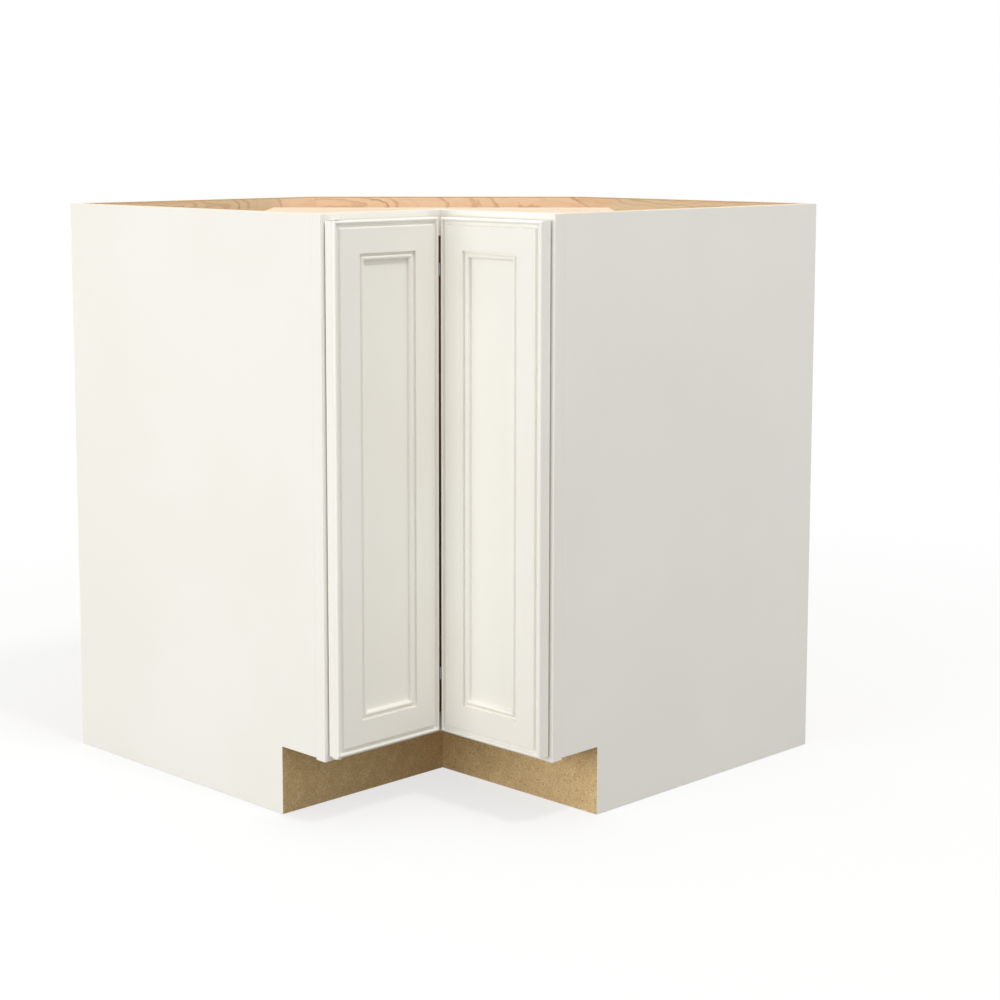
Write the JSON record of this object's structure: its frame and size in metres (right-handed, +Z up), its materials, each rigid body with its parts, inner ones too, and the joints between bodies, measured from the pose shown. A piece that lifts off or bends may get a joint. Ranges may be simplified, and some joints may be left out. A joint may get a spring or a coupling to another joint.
{
  "type": "corner base cabinet",
  "caption": "L-shaped corner base cabinet with a face frame, a folding pair of framed doors, a recessed toe space and two notched carousel trays that turn inside.",
  "frame": {"origin": "on the floor at the centre of the square footprint", "axes": "+Z up; the walls of the room stand at -X and +Y, and the L-shaped front opens towards +X (left door) and -Y (right door)"},
  "size_m": [0.8318, 0.8318, 0.8763],
  "materials": {
    "white_panel": "satin white paint on board",
    "white_frame": "satin white paint on wood",
    "white_door": "satin white paint on wood",
    "maple": "clear-coated maple faces",
    "raw_board": "raw particle board",
    "hinge_white": "satin white powder coat on steel",
    "steel": "nickel-plated steel",
    "aluminium": "satin",
    "bush_plastic": "matt",
    "bumper": "soft clear pad",
    "edge_seal": "soft brown seal"
  },
  "bodies": {
    "carcass": {"bottom_deck": "maple", "diagonal_back_panel": "maple", "front_corner_brace": "maple", "left_back_panel": "maple", "left_bottom_rail": "white_frame", "left_end_panel": "white_panel", "left_end_shelf_cleat": "maple", "left_frame_stile": "white_frame", "left_toe_kick": "raw_board", "left_top_rail": "white_frame", "left_wall_deck_cleat": "maple", "left_wall_shelf_cleat": "maple", "lower_bearing_base": "aluminium", "lower_pivot_bracket": "hinge_white", "middle_shelf": "maple", "rear_back_panel": "maple", "rear_wall_deck_cleat": "maple", "rear_wall_shelf_cleat": "maple", "right_bottom_rail": "white_frame", "right_end_panel": "white_panel", "right_end_shelf_cleat": "maple", "right_frame_stile": "white_frame", "right_toe_kick": "raw_board", "right_top_rail": "white_frame", "upper_bearing_base": "aluminium", "upper_pivot_bracket": "hinge_white"},
    "left_door": {"left_door_bottom_rail": "white_door", "left_door_inner_stile": "white_door", "left_door_outer_stile": "white_door", "left_door_panel": "white_door", "left_door_top_rail": "white_door", "lower_fold_hinge_left_wing": "steel", "lower_pivot_bush": "bush_plastic", "upper_fold_hinge_left_wing": "steel", "upper_pivot_bush": "bush_plastic"},
    "right_door": {"lower_door_bumper": "bumper", "lower_fold_hinge_right_wing": "steel", "right_door_bottom_rail": "white_door", "right_door_inner_stile": "white_door", "right_door_outer_stile": "white_door", "right_door_panel": "white_door", "right_door_top_rail": "white_door", "right_door_edge_seal": "edge_seal", "upper_door_bumper": "bumper", "upper_fold_hinge_right_wing": "steel"},
    "upper_tray": {"upper_bearing_top": "aluminium", "upper_tray_floor": "maple", "upper_tray_left_lip": "maple", "upper_tray_rear_rim": "maple", "upper_tray_right_lip": "maple"},
    "lower_tray": {"lower_bearing_top": "aluminium", "lower_tray_floor": "maple", "lower_tray_left_lip": "maple", "lower_tray_rear_rim": "maple", "lower_tray_right_lip": "maple"}
  },
  "joints": [
    {"name": "left_door_hinge", "type": "hinge", "parent": "carcass", "child": "left_door", "pos_m": [0.201, -0.4036, 0.487], "axis": [0, 0, -1], "range_deg": [0, 165]},
    {"name": "right_door_fold", "type": "hinge", "parent": "left_door", "child": "right_door", "pos_m": [0.20908, -0.20908, 0.487], "axis": [0, 0, -1], "range_deg": [0, 60]},
    {"name": "upper_tray_spin", "type": "hinge", "parent": "carcass", "child": "upper_tray", "pos_m": [0.01905, -0.01905, 0.4953], "axis": [0, 0, -1], "continuous": true},
    {"name": "lower_tray_spin", "type": "hinge", "parent": "carcass", "child": "lower_tray", "pos_m": [0.01905, -0.01905, 0.1365], "axis": [0, 0, -1], "continuous": true}
  ],
  "couplings": [
    {"joint": "upper_tray_spin", "follows": "left_door_hinge", "ratio": 0.3},
    {"joint": "lower_tray_spin", "follows": "left_door_hinge", "ratio": 0.2}
  ]
}
